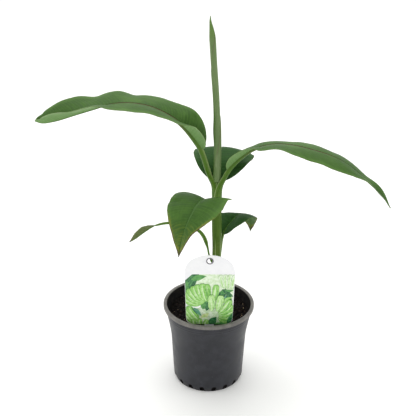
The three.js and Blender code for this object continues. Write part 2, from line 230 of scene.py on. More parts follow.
class Finish:
    """One Principled material, put together node by node, whose tone is built up in layers."""

    def __init__(self, name, roughness, specular):
        self.material = bpy.data.materials.new(name)
        self.material.use_nodes = True
        self.tree = self.material.node_tree
        self.shader = self.tree.nodes["Principled BSDF"]
        self.shader.inputs["Roughness"].default_value = roughness
        self.shader.inputs["Specular IOR Level"].default_value = specular

    def put(self, socket, value):
        if isinstance(value, bpy.types.NodeSocket):
            self.tree.links.new(value, socket)
        else:
            socket.default_value = value

    def add(self, kind, inputs=(), **settings):
        node = self.tree.nodes.new("ShaderNode" + kind)
        for key, value in settings.items():
            setattr(node, key, value)
        for key, value in dict(inputs).items():
            self.put(node.inputs[key], value)
        return node

    def attribute(self, name):
        return self.add("Attribute", attribute_name=name).outputs["Fac"]

    def place(self):
        return self.add("TexCoord").outputs["Object"]

    def height(self):
        return self.add("SeparateXYZ", {"Vector": self.place()}).outputs["Z"]

    def maths(self, operation, a, b=0.0):
        return self.add("Math", {0: a, 1: b}, operation=operation).outputs["Value"]

    def times(self, value, factor):
        return self.maths("MULTIPLY", value, factor)

    def ramp(self, value, low, high, start=0.0, end=1.0):
        node = self.add(
            "MapRange",
            {"Value": value, "From Min": low, "From Max": high, "To Min": start, "To Max": end},
            interpolation_type="SMOOTHSTEP",
        )
        return node.outputs["Result"]

    def vector(self, x, y, z=0.0):
        return self.add("CombineXYZ", {"X": x, "Y": y, "Z": z}).outputs["Vector"]

    def noise(self, vector, scale, detail=3.0, rough=0.55):
        inputs = {"Vector": vector, "Scale": scale, "Detail": detail, "Roughness": rough}
        return self.add("TexNoise", inputs).outputs["Fac"]

    def fibres(self, pitch, detail=3.0):
        """Noise drawn out along a piece that has turn and run attributes."""
        turn, run = self.attribute("turn"), self.attribute("run")
        return self.noise(self.vector(self.times(turn, pitch), run), 1.0, detail)

    def blend(self, share, a, b):
        return self.add("Mix", {0: share, 6: a, 7: b}, data_type="RGBA").outputs[2]

    def mottle(self, dark, light, value, low, high, end=1.0):
        """Starts the tone with a dark colour that turns to a light one as a value rises."""
        self.tone = self.blend(self.ramp(value, low, high, 0.0, end), colour(dark), colour(light))

    def tint(self, code, share):
        """Blends the tone toward a colour."""
        self.tone = self.blend(share, self.tone, colour(code))

    def fade(self, code, value, low, high, end=1.0, start=0.0):
        """Tints the tone from a share of start to a share of end as a value rises."""
        self.tint(code, self.ramp(value, low, high, start, end))

    def rough(self, value):
        self.put(self.shader.inputs["Roughness"], value)

    def relief(self, height, depth, strength):
        """Bump from a height of 0 to 1, depth metres deep."""
        node = self.add("Bump", {"Height": height, "Distance": depth, "Strength": strength})
        self.put(self.shader.inputs["Normal"], node.outputs["Normal"])

    def done(self):
        self.put(self.shader.inputs["Base Color"], self.tone)
        return self.material


DRY_RIM = "5b5a2a"
YELLOWED = "747727"
WITHERED = "43302b"


def blade_finish(name, deep, middle, pale, roughness, specular=0.16):
    """A leaf surface: streaks along its side veins, soft patches, and tints where it ages."""
    finish = Finish(name, roughness, specular)
    vein, across = finish.attribute("vein"), finish.attribute("across")
    share, age = finish.attribute("share"), finish.attribute("age")
    along_veins = finish.vector(finish.times(vein, 2.3), finish.times(across, 1.6), share)
    streaks = finish.noise(along_veins, 1.0, 4.0, 0.6)
    patches = finish.noise(finish.place(), 26.0, 2.0)
    bands = finish.noise(finish.vector(finish.times(share, 3.5), finish.times(across, 7.0)), 1.0)
    wave = finish.maths("COSINE", finish.times(vein, 2 * math.pi))
    finish.mottle(deep, middle, streaks, 0.34, 0.68, 0.5)
    finish.fade(pale, patches, 0.42, 0.72, 0.4)
    finish.fade(deep, bands, 0.42, 0.68, 0.4)
    finish.fade(pale, across, 0.72, 1.0, 0.4)
    finish.fade(deep, across, 0.0, 0.35, end=0.0, start=0.28)
    finish.fade(pale, wave, 0.86, 1.0, 0.22)
    finish.fade(DRY_RIM, across, 0.965, 1.0, 0.55)
    ragged = finish.times(finish.maths("SUBTRACT", streaks, 0.5), 0.5)
    broken_age = finish.maths("ADD", age, ragged)
    finish.fade(YELLOWED, broken_age, 0.12, 0.5, 0.7)
    finish.fade(WITHERED, broken_age, 0.46, 0.72, 0.92)
    finish.rough(finish.ramp(streaks, 0.3, 0.7, roughness - 0.05, roughness + 0.08))
    fine = finish.noise(finish.vector(finish.times(vein, 9.0), across, share), 1.0, 2.0)
    finish.relief(finish.maths("ADD", fine, finish.times(streaks, 0.6)), 0.00012, 0.5)
    return finish.done()


def stalk_finish():
    """A petiole and midrib: fine lengthwise fibres, and a mauve blush along the midrib."""
    finish = Finish("stalk_fibres", 0.4, 0.25)
    fibres = finish.fibres(26.0)
    patches = finish.noise(finish.place(), 60.0, 2.0)
    finish.mottle("395e0a", "5b7d1f", fibres, 0.35, 0.7)
    finish.fade("3b6012", patches, 0.4, 0.75, 0.35)
    finish.tint("4b6f34", finish.attribute("leafy"))
    finish.tint("6d4b42", finish.attribute("blush"))
    finish.tint("a3b878", finish.times(finish.attribute("edge"), 0.7))
    finish.relief(fibres, 0.00015, 0.6)
    return finish.done()


def stem_finish():
    """The pseudostem: fibrous leaf sheaths with pale papery edges and a brown foot."""
    finish = Finish("stem_sheaths", 0.48, 0.14)
    fibres = finish.fibres(22.0, 4.0)
    patches = finish.noise(finish.place(), 45.0)
    height = finish.height()
    finish.mottle("2f4e0b", "567224", fibres, 0.32, 0.7)
    finish.fade("62752f", patches, 0.45, 0.8, 0.45)
    finish.fade("305606", height, 0.235, 0.275, 0.7)
    finish.fade("6a4a34", height, 0.1, 0.125, end=0.0, start=0.8)
    finish.tint("a2b47c", finish.times(finish.attribute("edge"), 0.65))
    finish.relief(fibres, 0.0002, 0.6)
    return finish.done()


def spear_finish():
    """The rolled leaf: its grey-green underside, ribbed along its length, with pale margins and painted
    shade.
    """
    finish = Finish("rolled_leaf", 0.48, 0.22)
    ribs = finish.fibres(17.0)
    patches = finish.noise(finish.place(), 38.0)
    finish.mottle("546d3c", "778c5d", ribs, 0.34, 0.68)
    finish.fade("869470", patches, 0.45, 0.75, 0.4)
    # Painted shade: a darker green where the shade attribute marks the side under the left leaf.
    finish.tint("40641f", finish.attribute("shade"))
    finish.tint("7c6a58", finish.times(finish.attribute("edge"), 0.45))
    finish.fade("55772b", finish.height(), 0.462, 0.482, 0.7)
    finish.relief(ribs, 0.00015, 0.5)
    return finish.done()


def pot_finish():
    """Thin black polypropylene: a scuffed satin slate wall, and a painted highlight of lighter grey on
    the lip.
    """
    finish = Finish("pot_plastic", 0.42, 0.3)
    place, height = finish.place(), finish.height()
    clouds = finish.noise(place, 90.0, 4.0)
    upright = finish.add("Mapping", {"Vector": place, "Scale": (1.0, 1.0, 0.22)})
    scuffs = finish.noise(upright.outputs["Vector"], 420.0, 3.0, 0.7)
    # Painted highlight: the lighter grey that the lip takes, for light falling on its top.
    finish.mottle("5e5c58", "76736e", clouds, 0.3, 0.7)
    lip_highlight_tone = finish.tone
    finish.mottle("25262b", "2f3036", clouds, 0.35, 0.7)
    finish.fade("55565b", scuffs, 0.62, 0.78, 0.3)
    # The lip band takes the painted highlight's lighter grey.
    lip = finish.ramp(height, LIP_BOTTOM * MM - 0.0008, LIP_BOTTOM * MM + 0.0002)
    finish.tone = finish.blend(lip, finish.tone, lip_highlight_tone)
    finish.fade("222224", height, 0.0, 0.012, end=0.0, start=0.45)
    finish.rough(finish.ramp(clouds, 0.3, 0.7, 0.36, 0.5))
    finish.relief(finish.noise(place, 900.0, 2.0), 0.00008, 0.5)
    return finish.done()


def inner_finish():
    """The pot's inside, darker and duller than the outside; also the drain slots' faces, as painted
    shade.
    """
    finish = Finish("pot_inside", 0.7, 0.15)
    stains = finish.noise(finish.place(), 160.0, 4.0, 0.65)
    finish.mottle("0f0f10", "262320", stains, 0.4, 0.7)
    finish.relief(stains, 0.0002, 0.4)
    return finish.done()


def grain_finish(name, dark, light, scale, roughness=0.9):
    """A crumbly matt surface in two tones."""
    finish = Finish(name, roughness, 0.25)
    grains = finish.noise(finish.place(), scale, 5.0, 0.7)
    finish.mottle(dark, light, grains, 0.38, 0.66)
    finish.relief(grains, 0.0004, 0.8)
    return finish.done()


def print_finish(name, dark, light, scale=330.0):
    """Printed film: soft ink tone, under the film's own gloss."""
    finish = Finish(name, 0.3, 0.5)
    ink = finish.noise(finish.place(), scale, 3.0, 0.6)
    finish.mottle(dark, light, ink, 0.35, 0.68)
    finish.rough(finish.ramp(ink, 0.3, 0.7, 0.26, 0.36))
    return finish.done()


# ---------------------------------------------------------------- pot

POT_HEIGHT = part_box("pot")[1].z / MM
POT_RIM_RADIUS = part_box("pot")[1].x / MM
POT_FOOT_RADIUS = 46.3
POT_WALL_SPREAD = 6.1  # the straight taper from foot to rim
POT_FLARE = (62, 118, 5.4)  # start, end and size of the flare under the rim
LIP_BOTTOM = POT_HEIGHT - 5
LIP_WIDTH = 4.4
POT_BEADS = (98.2, 101.6)  # heights of two fine beads under the rim
BEAD_RELIEF, BEAD_SPREAD = 0.22, 0.5
POT_WALL = 1.6
POT_FLOOR_RADIUS = 42
POT_COLUMNS = 192
DRAIN_SLOTS = 18
DRAIN_WIDTH = 6.2
DRAIN_HEIGHT = 8.2
DRAIN_INNER_RADIUS = 42.5
DRAIN_SILL = 0.35


def pot_radius(height):
    """Outside radius of the pot's wall in millimetres."""
    start, end, size = POT_FLARE
    return POT_FOOT_RADIUS + height / POT_HEIGHT * POT_WALL_SPREAD + ease(height, start, end) * size


def turned(profile, columns=POT_COLUMNS):
    """Rings of a body turned about the upright axis, from rows of [radius, height]."""
    profile = np.array(profile, float)
    angle = np.arange(columns) / columns * 2 * np.pi
    ring = np.stack([np.cos(angle), np.sin(angle), np.zeros(columns)], -1)
    rings = profile[:, :1, None] * ring
    rings[..., 2] = profile[:, 1:]
    return rings


def rounded(centre, radius, start, end, steps=6):
    """Points of an arc in a profile, with its angles in degrees."""
    angles = np.radians(np.linspace(start, end, steps))
    return [(centre[0] + radius * math.cos(a), centre[1] + radius * math.sin(a)) for a in angles]


def drain_cutter(index):
    """An arch-topped prism through the foot of the wall."""
    half = DRAIN_WIDTH / 2
    arch = rounded((0, DRAIN_HEIGHT - half), half, 180, 0, 13)
    arch = [(-half, DRAIN_SILL)] + arch + [(half, DRAIN_SILL)]
    left = arch[: len(arch) // 2]
    right = arch[len(arch) // 2 + 1 :][::-1]
    far, near = -POT_FOOT_RADIUS - 4, -DRAIN_INNER_RADIUS
    rows = [
        [(x0, far, z0), (x1, far, z1), (x1, near, z1), (x0, near, z0)]
        for (x0, z0), (x1, z1) in zip(left, right)
    ]
    angle = (index - 0.5) / DRAIN_SLOTS * 2 * math.pi
    cos, sin = math.cos(angle), math.sin(angle)
    turn = np.array([[cos, sin, 0], [-sin, cos, 0], [0, 0, 1]])
    return loft(np.array(rows, float) @ turn)


def bead(height):
    """How far the beads under the rim stand out from the wall."""
    return sum(BEAD_RELIEF * np.exp(-(((height - at) / BEAD_SPREAD) ** 2)) for at in POT_BEADS)


def build_pot():
    levels = np.r_[np.linspace(5, 60, 12), np.linspace(63, LIP_BOTTOM - 0.4, 22)]
    fine = np.unique(np.r_[levels, np.linspace(96, 104, 25)])
    wall = [(pot_radius(z) + bead(z), z) for z in fine]
    lip_inner = POT_RIM_RADIUS - LIP_WIDTH
    outside = (
        [(0.4, 0), (20, 0), (POT_FOOT_RADIUS - 3.2, 0)]
        + rounded((POT_FOOT_RADIUS - 2.6, 0.9), 0.9, -90, -20)
        + [(POT_FOOT_RADIUS - 0.7, 3.4)]
        + wall
        + rounded((POT_RIM_RADIUS - 0.9, LIP_BOTTOM + 0.9), 0.9, -90, 0)
        + rounded((POT_RIM_RADIUS - 1.3, POT_HEIGHT - 1.3), 1.3, 0, 90, 8)
        + rounded((lip_inner + 1.2, POT_HEIGHT - 1.2), 1.2, 90, 180, 8)
    )
    inside = [(pot_radius(z) - POT_WALL, z) for z in levels[::-1]]
    profile = outside + inside + [(POT_FLOOR_RADIUS, POT_WALL), (20, POT_WALL), (0.4, POT_WALL)]
    mesh = to_mesh("pot_shell", loft(turned(profile)))
    first_inside = len(outside) - 1
    ring = np.arange(len(mesh.polygons)) // POT_COLUMNS
    mesh.polygons.foreach_set("material_index", (ring >= first_inside).astype(np.int32))
    piece = add_piece("pot_shell", mesh, [pot_finish(), inner_finish()], "pot", "pot")

    cutter_mesh = to_mesh("drain_cutters", join([drain_cutter(i) for i in range(DRAIN_SLOTS)]))
    # The slots' own faces take the dark inside finish, as painted shade in these recesses.
    dark = np.ones(len(cutter_mesh.polygons), np.int32)
    cutter_mesh.polygons.foreach_set("material_index", dark)
    for material in piece.data.materials:
        cutter_mesh.materials.append(material)
    cutter = add_object("drain_cutters", cutter_mesh)
    cut = piece.modifiers.new("drains", "BOOLEAN")
    cut.object, cut.operation, cut.solver = cutter, "DIFFERENCE", "EXACT"
    apply_modifiers(piece)
    bpy.data.objects.remove(cutter)


def apply_modifiers(piece):
    """Swaps the piece's mesh for what its modifiers make of it."""
    shown = piece.evaluated_get(bpy.context.evaluated_depsgraph_get())
    made = bpy.data.meshes.new_from_object(shown)
    piece.modifiers.clear()
    piece.data = made
    made.polygons.foreach_set("use_smooth", np.ones(len(made.polygons), bool))
    made.set_sharp_from_angle(angle=math.radians(35))


# ---------------------------------------------------------------- soil

SOIL_TOP = 97
SOIL_BOTTOM = 1.95
SOIL_COLUMNS = 240
STEM_FOOT = (10.8, 0.0)  # where the pseudostem stands in the soil
STEM_FOOT_RADIUS = 9.6
GRAINS = [  # name, seed, count, sizes, flatness and look
    ("soil_crumbs", 21, 3200, (0.5, 1.7), (0.7, 1.0), ("peat_crumbs", "090706", "1c140f", 900.0)),
    ("soil_bark", 22, 210, (1.4, 3.4), (0.25, 0.5), ("bark_chips", "140d0a", "38271c", 600.0, 0.8)),
    ("soil_grit", 23, 46, (0.7, 1.3), (0.75, 1.0), ("pale_grit", "7b6a50", "b09c7c", 800.0, 0.75)),
]


def soil_level(x, y):
    """Height of the soil: slightly heaped and lumpy, but level round the plant and the label."""
    radius, angle = np.hypot(x, y), np.arctan2(y, x)
    lumps = 1.2 * np.sin(3 * angle + 0.6) + 0.8 * np.sin(7 * angle + radius / 6)
    return SOIL_TOP + ease(radius, 16, 30) * lumps


def build_soil():
    wall = POT_WALL + 0.3
    radii = np.linspace(pot_radius(SOIL_TOP) - wall, 0.6, 90)
    sides = [(0.6, SOIL_BOTTOM), (POT_FLOOR_RADIUS - 1, SOIL_BOTTOM)]
    sides += [(pot_radius(z) - wall, z) for z in np.linspace(5, 93, 8)]
    rings = turned(sides + [(r, SOIL_TOP) for r in radii], SOIL_COLUMNS)
    top = rings[len(sides):]
    top[..., 2] = soil_level(top[..., 0], top[..., 1]) - 0.6
    flat = top * [1, 1, 0]
    top[..., 2] += 0.45 * rumple(flat, 5.0, 11) + 0.3 * rumple(flat, 2.2, 12)
    mesh = to_mesh("soil_bed", loft(rings))
    finish = grain_finish("peat", "080605", "17100c", 700.0)
    add_piece("soil_bed", mesh, [finish], "soil", "potting_soil")
    for grains in GRAINS:
        build_grains(*grains)


def icosahedron():
    """The twelve corners and twenty faces of a unit icosahedron."""
    bm = bmesh.new()
    bmesh.ops.create_icosphere(bm, subdivisions=1, radius=1.0)
    corners = np.array([v.co for v in bm.verts])
    faces = np.array([[v.index for v in f.verts] for f in bm.faces])
    bm.free()
    return corners, faces


def random_turns(draw, count):
    """Random rotation matrices, from random unit quaternions."""
    w, x, y, z = unit(draw.normal(size=(count, 4))).T
    return np.stack([
        1 - 2 * (y * y + z * z), 2 * (x * y - w * z), 2 * (x * z + w * y),
        2 * (x * y + w * z), 1 - 2 * (x * x + z * z), 2 * (y * z - w * x),
        2 * (x * z - w * y), 2 * (y * z + w * x), 1 - 2 * (x * x + y * y),
    ], -1).reshape(-1, 3, 3)


def build_grains(name, seed, count, sizes, flatness, look):
    """Many small irregular lumps strewn over the soil, joined into one piece."""
    draw = np.random.default_rng(seed)
    reach = pot_radius(SOIL_TOP) - POT_WALL - sizes[1] - 0.5
    spread = reach * np.sqrt(draw.uniform(0, 1, 3 * count))
    angle = draw.uniform(0, 2 * np.pi, 3 * count)
    x, y = spread * np.cos(angle), spread * np.sin(angle)
    clear = np.hypot(x - STEM_FOOT[0], y - STEM_FOOT[1]) > STEM_FOOT_RADIUS + sizes[1] * 0.4
    x, y = x[clear][:count], y[clear][:count]
    corners, faces = icosahedron()
    size = draw.uniform(*sizes, len(x)) * draw.uniform(0.6, 1.0, len(x))
    breadth, height = draw.uniform(0.55, 0.95, len(x)), draw.uniform(*flatness, len(x))
    shape = np.stack([np.ones(len(x)), breadth, height], -1)
    lump = corners * (1 + draw.uniform(-0.22, 0.22, (len(x), len(corners), 1)))
    lump = lump * shape[:, None] * size[:, None, None]
    lump = lump @ random_turns(draw, len(x))
    centre = np.stack([x, y, soil_level(x, y) + size * shape[:, 2] * 0.15], -1)
    vertices = (lump + centre[:, None]).reshape(-1, 3) * MM
    starts = np.arange(len(x))[:, None, None] * len(corners)
    mesh = bpy.data.meshes.new(name)
    mesh.from_pydata(vertices.tolist(), [], (faces + starts).reshape(-1, 3).tolist())
    add_piece(name, mesh, [grain_finish(*look)], "soil")


# ---------------------------------------------------------------- label

LABEL_LOW, LABEL_HIGH = (np.array(corner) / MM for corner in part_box("plant_label"))
LABEL_X = (LABEL_LOW[0] + LABEL_HIGH[0]) / 2
LABEL_FRONT = LABEL_LOW[1]
LABEL_BACK = LABEL_HIGH[1]
LABEL_TOP = LABEL_HIGH[2]
LABEL_TIP = LABEL_LOW[2]
LABEL_FOOT = 104.5
LABEL_SHOULDER = 182
LABEL_HALF = (LABEL_HIGH[0] - LABEL_LOW[0]) / 2
LABEL_FOOT_HALF = LABEL_HALF - 2
LABEL_CORNER = 10
STAKE_HALF = 6
HOLE_DROP, HOLE_RADIUS = 8, 3.2
EYELET_WIDTH = 1.5
INK = 0.03  # thickness of one printed layer
PICTURE_ZERO = 100.5  # the height that the picture's own heights are counted from
PICTURE_TOP = 78.3
PICTURE_MARGIN = 0.5
CHAMFER_START, CHAMFER_SLOPE = 22, 0.98  # the cut upper left corner of the picture


def bow(start, handle, end, steps=10):
    """A quadratic curve's points after its start."""
    start, handle, end = (np.array(p, float) for p in (start, handle, end))
    return [
        tuple((1 - t) ** 2 * start + 2 * t * (1 - t) * handle + t**2 * end)
        for t in np.linspace(0, 1, steps + 1)[1:]
    ]


def label_outline():
    """Half of the outline from the stake's tip round to the top, then its mirror image."""
    half, foot, corner = LABEL_HALF, LABEL_FOOT_HALF, LABEL_CORNER
    side = [(STAKE_HALF, LABEL_TIP + 14), (STAKE_HALF, LABEL_FOOT), (foot - corner, LABEL_FOOT)]
    side += bow(side[-1], (foot, LABEL_FOOT), (foot, LABEL_FOOT + corner))
    side += [(half, LABEL_SHOULDER)]
    side += bow(side[-1], (half - 1, LABEL_TOP - 11), (half - 12, LABEL_TOP - 5))
    side += bow(side[-1], (half - 20, LABEL_TOP), (0, LABEL_TOP))
    return [(0, LABEL_TIP)] + side + [(-x, z) for x, z in side[-2::-1]]


def add_spline(curve, points):
    spline = curve.splines.new("POLY")
    spline.points.add(len(points) - 1)
    for point, (x, z) in zip(spline.points, points):
        point.co = (x * MM, z * MM, 0, 1)
    spline.use_cyclic_u = True


def upright_plate(name, outlines, front, back, bevel):
    """A plate filled between outlines in the XZ plane, with softened edges."""
    curve = bpy.data.curves.new(name, "CURVE")
    curve.dimensions, curve.fill_mode = "2D", "BOTH"
    curve.extrude = ((back - front) / 2 - bevel) * MM
    curve.bevel_depth, curve.bevel_resolution, curve.offset = bevel * MM, 2, -bevel * MM
    for points in outlines:
        add_spline(curve, points)
    maker = add_object(name + "_maker", curve)
    shown = maker.evaluated_get(bpy.context.evaluated_depsgraph_get())
    mesh = bpy.data.meshes.new_from_object(shown)
    bpy.data.objects.remove(maker)
    mesh.name = name
    middle = Matrix.Translation((LABEL_X * MM, (front + back) / 2 * MM, 0))
    mesh.transform(middle @ Matrix.Rotation(math.pi / 2, 4, "X"))
    bm = bmesh.new()
    bm.from_mesh(mesh)
    bmesh.ops.remove_doubles(bm, verts=bm.verts, dist=1e-6)
    bmesh.ops.recalc_face_normals(bm, faces=bm.faces)
    bm.to_mesh(mesh)
    bm.free()
    return mesh


def picture_half(height):
    """Half the picture's width at one of its own heights."""
    grow = (LABEL_HALF - LABEL_FOOT_HALF) / (LABEL_SHOULDER - LABEL_FOOT)
    above = PICTURE_ZERO + height - LABEL_FOOT
    return LABEL_FOOT_HALF - PICTURE_MARGIN + grow * np.maximum(above, 0)


def picture_low(x):
    """The picture's lower edge, which follows the label's rounded corners."""
    half = LABEL_FOOT_HALF - PICTURE_MARGIN
    turn = np.clip((np.abs(x) - half + LABEL_CORNER) / LABEL_CORNER, 0, 1)
    low = LABEL_FOOT - PICTURE_ZERO + PICTURE_MARGIN
    return low + LABEL_CORNER * (1 - np.sqrt(1 - turn**2))


def picture_high(x):
    return PICTURE_TOP - CHAMFER_SLOPE * np.maximum(-x - CHAMFER_START, 0)


def within_picture(points):
    """Moves whatever would stick out past the picture's edges back onto them."""
    x, z = np.array(points, float).T
    z = np.clip(z, PICTURE_MARGIN, PICTURE_TOP)
    x = np.clip(x, -picture_half(z), picture_half(z))
    return np.stack([x, np.clip(z, picture_low(x), picture_high(x))], -1)


def strip(left, right, layer):
    """A thin printed shape between two edges of [x, z] points, in label coordinates."""
    front = LABEL_FRONT - layer * INK
    depth = np.array([front, front, front + INK * 0.8, front + INK * 0.8])
    left, right = within_picture(left), within_picture(right)
    flat = np.stack([left, right, right, left], 1)
    across = np.broadcast_to(depth, flat.shape[:2])
    rings = np.stack([flat[..., 0] + LABEL_X, across, flat[..., 1] + PICTURE_ZERO], -1)
    return loft(rings)


def ribbon(root, lean, length, width, bend, layer, shape, offset=0.0, steps=14):
    """A shape along a bent axis: root [x, z], lean and bend in degrees, shape(t) its half width.

    offset moves it sideways, as a share of its width.
    """
    t = np.linspace(0, 1, steps)
    heading = np.radians(90 - lean - bend * (t - 0.5))
    paces = np.stack([np.cos(heading), np.sin(heading)], -1)[:-1] * length / (steps - 1)
    axis = np.array(root, float) + np.vstack([[0, 0], np.cumsum(paces, 0)])
    normal = np.stack([-np.sin(heading), np.cos(heading)], -1)
    half = (width / 2 * np.maximum(shape(t), 0.03))[:, None]
    axis = axis + normal * offset * half
    return strip(axis + normal * half, axis - normal * half, layer)


def finger_shape(t):
    """Half width of a banana: a narrow neck, a full middle and a short blunt tip."""
    neck = 0.35 + 0.65 * ease(t, 0, 0.32)
    return np.minimum(neck, np.sqrt(np.clip(1 - ((t - 0.5) / 0.52) ** 6, 0, 1)))


def blade_shape(t):
    return np.sin(np.pi * t**0.8)


def gleam_shape(t):
    return np.sin(np.pi * np.clip(t, 0, 1)) ** 0.7


# The picture, from back to front. A hand has a root [x, z] and how far its fingers' roots
# spread; the lean, bend and length of the first and the last finger; width, count and tone.
# A leaf or a gap has a root, lean, length, width, bend and tone.
PICTURE = [
    ("leaf", (-34, 50), 34, 40, 17, 26, "deep"),
    ("leaf", (-23, 70), 74, 20, 8, 16, "green"),
    ("leaf", (-31, 44), 8, 24, 9, 20, "green"),
    ("leaf", (13, 40), 26, 22, 9, 20, "deep"),
    ("leaf", (20, 33), 14, 22, 9, -14, "teal"),
    ("leaf", (28, 30), -10, 27, 7, 16, "deep"),
    ("hand", (19, 57), (9, -1), (-14, 10), (10, -10), (21, 22), 6.0, 4, "faint"),
    ("leaf", (12, 52), 78, 19, 6, -14, "green"),
    ("leaf", (30, 46), -52, 18, 5, 12, "deep"),
    ("leaf", (17, 36), 52, 15, 6, 24, "lime"),
    ("leaf", (13, 8), 72, 15, 7, -10, "gap"),
    ("leaf", (-33, 41), 62, 15, 11, 10, "gap"),
    ("leaf", (-24, 31), 82, 17, 9, 12, "gap"),
    ("leaf", (27, 24), 6, 10, 4, 10, "gap"),
    ("leaf", (-9, 27), 30, 17, 11, 12, "green"),
    ("leaf", (-4, 24), 12, 18, 6, -8, "deep"),
    ("hand", (-1, 38), (7, 0), (-5, 5), (4, -6), (26, 25), 8.0, 2, "lime"),
    ("hand", (-8, 37), (4, 2), (-64, -12), (96, 10), (31, 26), 9.0, 6, "lime"),
    ("hand", (-21, 3), (8, 7), (-32, -34), (34, 10), (31, 25), 9.0, 4, "lime"),
    ("leaf", (-20, 29), 142, 16, 5, 8, "teal"),
    ("leaf", (-24, 31), 146, 16, 1.6, 4, "deep"),
    ("leaf", (-11, 13), 52, 13, 7, -10, "cream"),
    ("leaf", (-13, 9), 70, 14, 5, 12, "faint"),
    ("hand", (12, 13), (0, 8), (100, 34), (-62, -36), (20, 25), 8.0, 5, "lime"),
    ("hand", (-16, -2), (12, 0), (-20, 40), (16, -20), (15, 14), 6.0, 4, "lime"),
    ("leaf", (-6, 1), 80, 30, 5, 10, "green"),
    ("leaf", (1, 3), 34, 15, 10, 18, "deep"),
    ("leaf", (23, 5), 22, 20, 6, -14, "deep"),
    ("leaf", (7, 2), 66, 12, 7, -10, "green"),
    ("hand", (3, 24), (7, 0), (-2, 11), (-4, -10), (24, 24), 8.6, 2, "pale"),
]

INKS = {
    "ground": ("b5d2a4", "dcebd2"), "gap": ("eef4ec", "fbfdfa"), "deep": ("1f5a34", "3d7d49"),
    "green": ("4a8f43", "69ad58"), "teal": ("468873", "68a88c"), "lime": ("7fbd54", "9dd474"),
    "pale": ("a6d67e", "c6e8a6"), "faint": ("cfe5bd", "e9f5e0"), "cream": ("bccb86", "d8dfa6"),
    "gleam": ("9fd277", "c4e8a4"), "shade": ("4d8f36", "70ad50"), "vein": ("2f7040", "5a9a58"),
}


def paint_ground(tones):
    """The picture's pale ground, in two bands that follow the label's outline."""
    half = LABEL_FOOT_HALF - PICTURE_MARGIN
    x = half * np.sin(np.linspace(-np.pi / 2, np.pi / 2, 25))
    middle = np.full(len(x), 36.0)
    tones["ground"].append(strip(np.stack([x, 0 * x], -1), np.stack([x, middle], -1), 1))
    wide = x * picture_half(PICTURE_TOP) / half
    tones["faint"].append(strip(np.stack([x, middle], -1), np.stack([wide, middle + 90], -1), 1))


def paint_leaf(tones, layer, root, lean, length, width, bend, tone):
    """A leaf with three faint veins, or a plain gap between leaves."""
    tones[tone].append(ribbon(root, lean, length, width, bend, layer, blade_shape))
    if tone == "gap":
        return
    vein = "vein" if tone in ("deep", "teal", "green") else "gleam"
    for offset in (-4.5, 0, 4.5):
        tones[vein].append(ribbon(
            root, lean, length * 0.9, width * 0.08, bend, layer + 0.3, gleam_shape, offset, 10))


def paint_finger(tones, layer, root, lean, length, width, bend, tone):
    """One banana: a darker rim, its body, a shaded side, a pale side and a pale ridge."""
    shapes = [
        ("shade", 1.02, 1.06, 0, 0, finger_shape),
        (tone, 1.0, 1.0, 0.2, 0, finger_shape),
        ("green", 0.85, 0.1, 0.4, -7.4, gleam_shape),
        ("gleam", 0.96, 0.36, 0.4, 0.9, gleam_shape),
        ("faint", 0.94, 0.08, 0.6, 2.0, gleam_shape),
    ]
    for ink, long, wide, above, offset, shape in shapes:
        tones[ink].append(ribbon(
            root, lean, length * long, width * wide, bend, layer + above, shape, offset))


def paint_picture(tones):
    paint_ground(tones)
    layer = 2.0
    for kind, root, *rest in PICTURE:
        if kind == "leaf":
            paint_leaf(tones, layer, root, *rest)
            layer += 0.5
            continue
        spread, lean, bend, length, width, count, tone = rest
        for i in range(count):
            share = i / (count - 1)
            at = [root[k] + share * spread[k] for k in range(2)]
            paint_finger(tones, layer, at, mix(*lean, share), mix(*length, share), width,
                         mix(*bend, share), tone)
            layer += 0.8


def build_label():
    hole = rounded((0, LABEL_TOP - HOLE_DROP), HOLE_RADIUS, 0, 352, 45)
    plate = upright_plate("label_plate", [label_outline(), hole], LABEL_FRONT, LABEL_BACK, 0.12)
    film = print_finish("label_film", "eeeef1", "f4f4f6", 60.0)
    add_piece("label_plate", plate, [film], "label", "plant_label")

    outer = rounded((0, LABEL_TOP - HOLE_DROP), HOLE_RADIUS + EYELET_WIDTH, 0, 352, 45)
    ring = upright_plate("label_eyelet", [outer, hole], LABEL_FRONT - 0.25, LABEL_FRONT + 0.05, 0.08)
    grey = print_finish("eyelet", "66636b", "807c85")
    add_piece("label_eyelet", ring, [grey], "label")

    tones = {tone: [] for tone in INKS}
    paint_picture(tones)
    for name, shapes in tones.items():
        ink = print_finish("ink_" + name, *INKS[name])
        mesh = to_mesh("label_print_" + name, join(shapes), 30)
        add_piece("label_print_" + name, mesh, [ink], "label")


# ---------------------------------------------------------------- the plant

PLANT_X = 9  # leaf routes are measured out from this upright axis
FORK_HEIGHT = 290
STEM_POINTS = [(10.8, 0, 97.35), (9.9, 0, 150), (9.1, 0, 220), (8.5, 0, FORK_HEIGHT)]
STEM_RADII = [[0, 9.6], [0.1, 8.6], [0.25, 7.2], [0.45, 6], [0.75, 6.4], [1, 7]]
SPEAR_POINTS = [
    (8.5, 0, 290.35), (8.5, 0, 345), (6.5, 0, 396), (2.8, 0, 444), (0.6, 0, 475),
    (-1.6, 0, 493), (-1.4, 0, 498),
]
SPEAR_RADII = [[0, 5.4], [0.12, 4.9], [0.35, 4.4], [0.5, 4], [0.86, 3.8], [0.96, 1.4], [1, 0.4]]
STEM = Route(STEM_POINTS, (1, 0, 0))
SPEAR = Route(SPEAR_POINTS, (1, 0, 0))

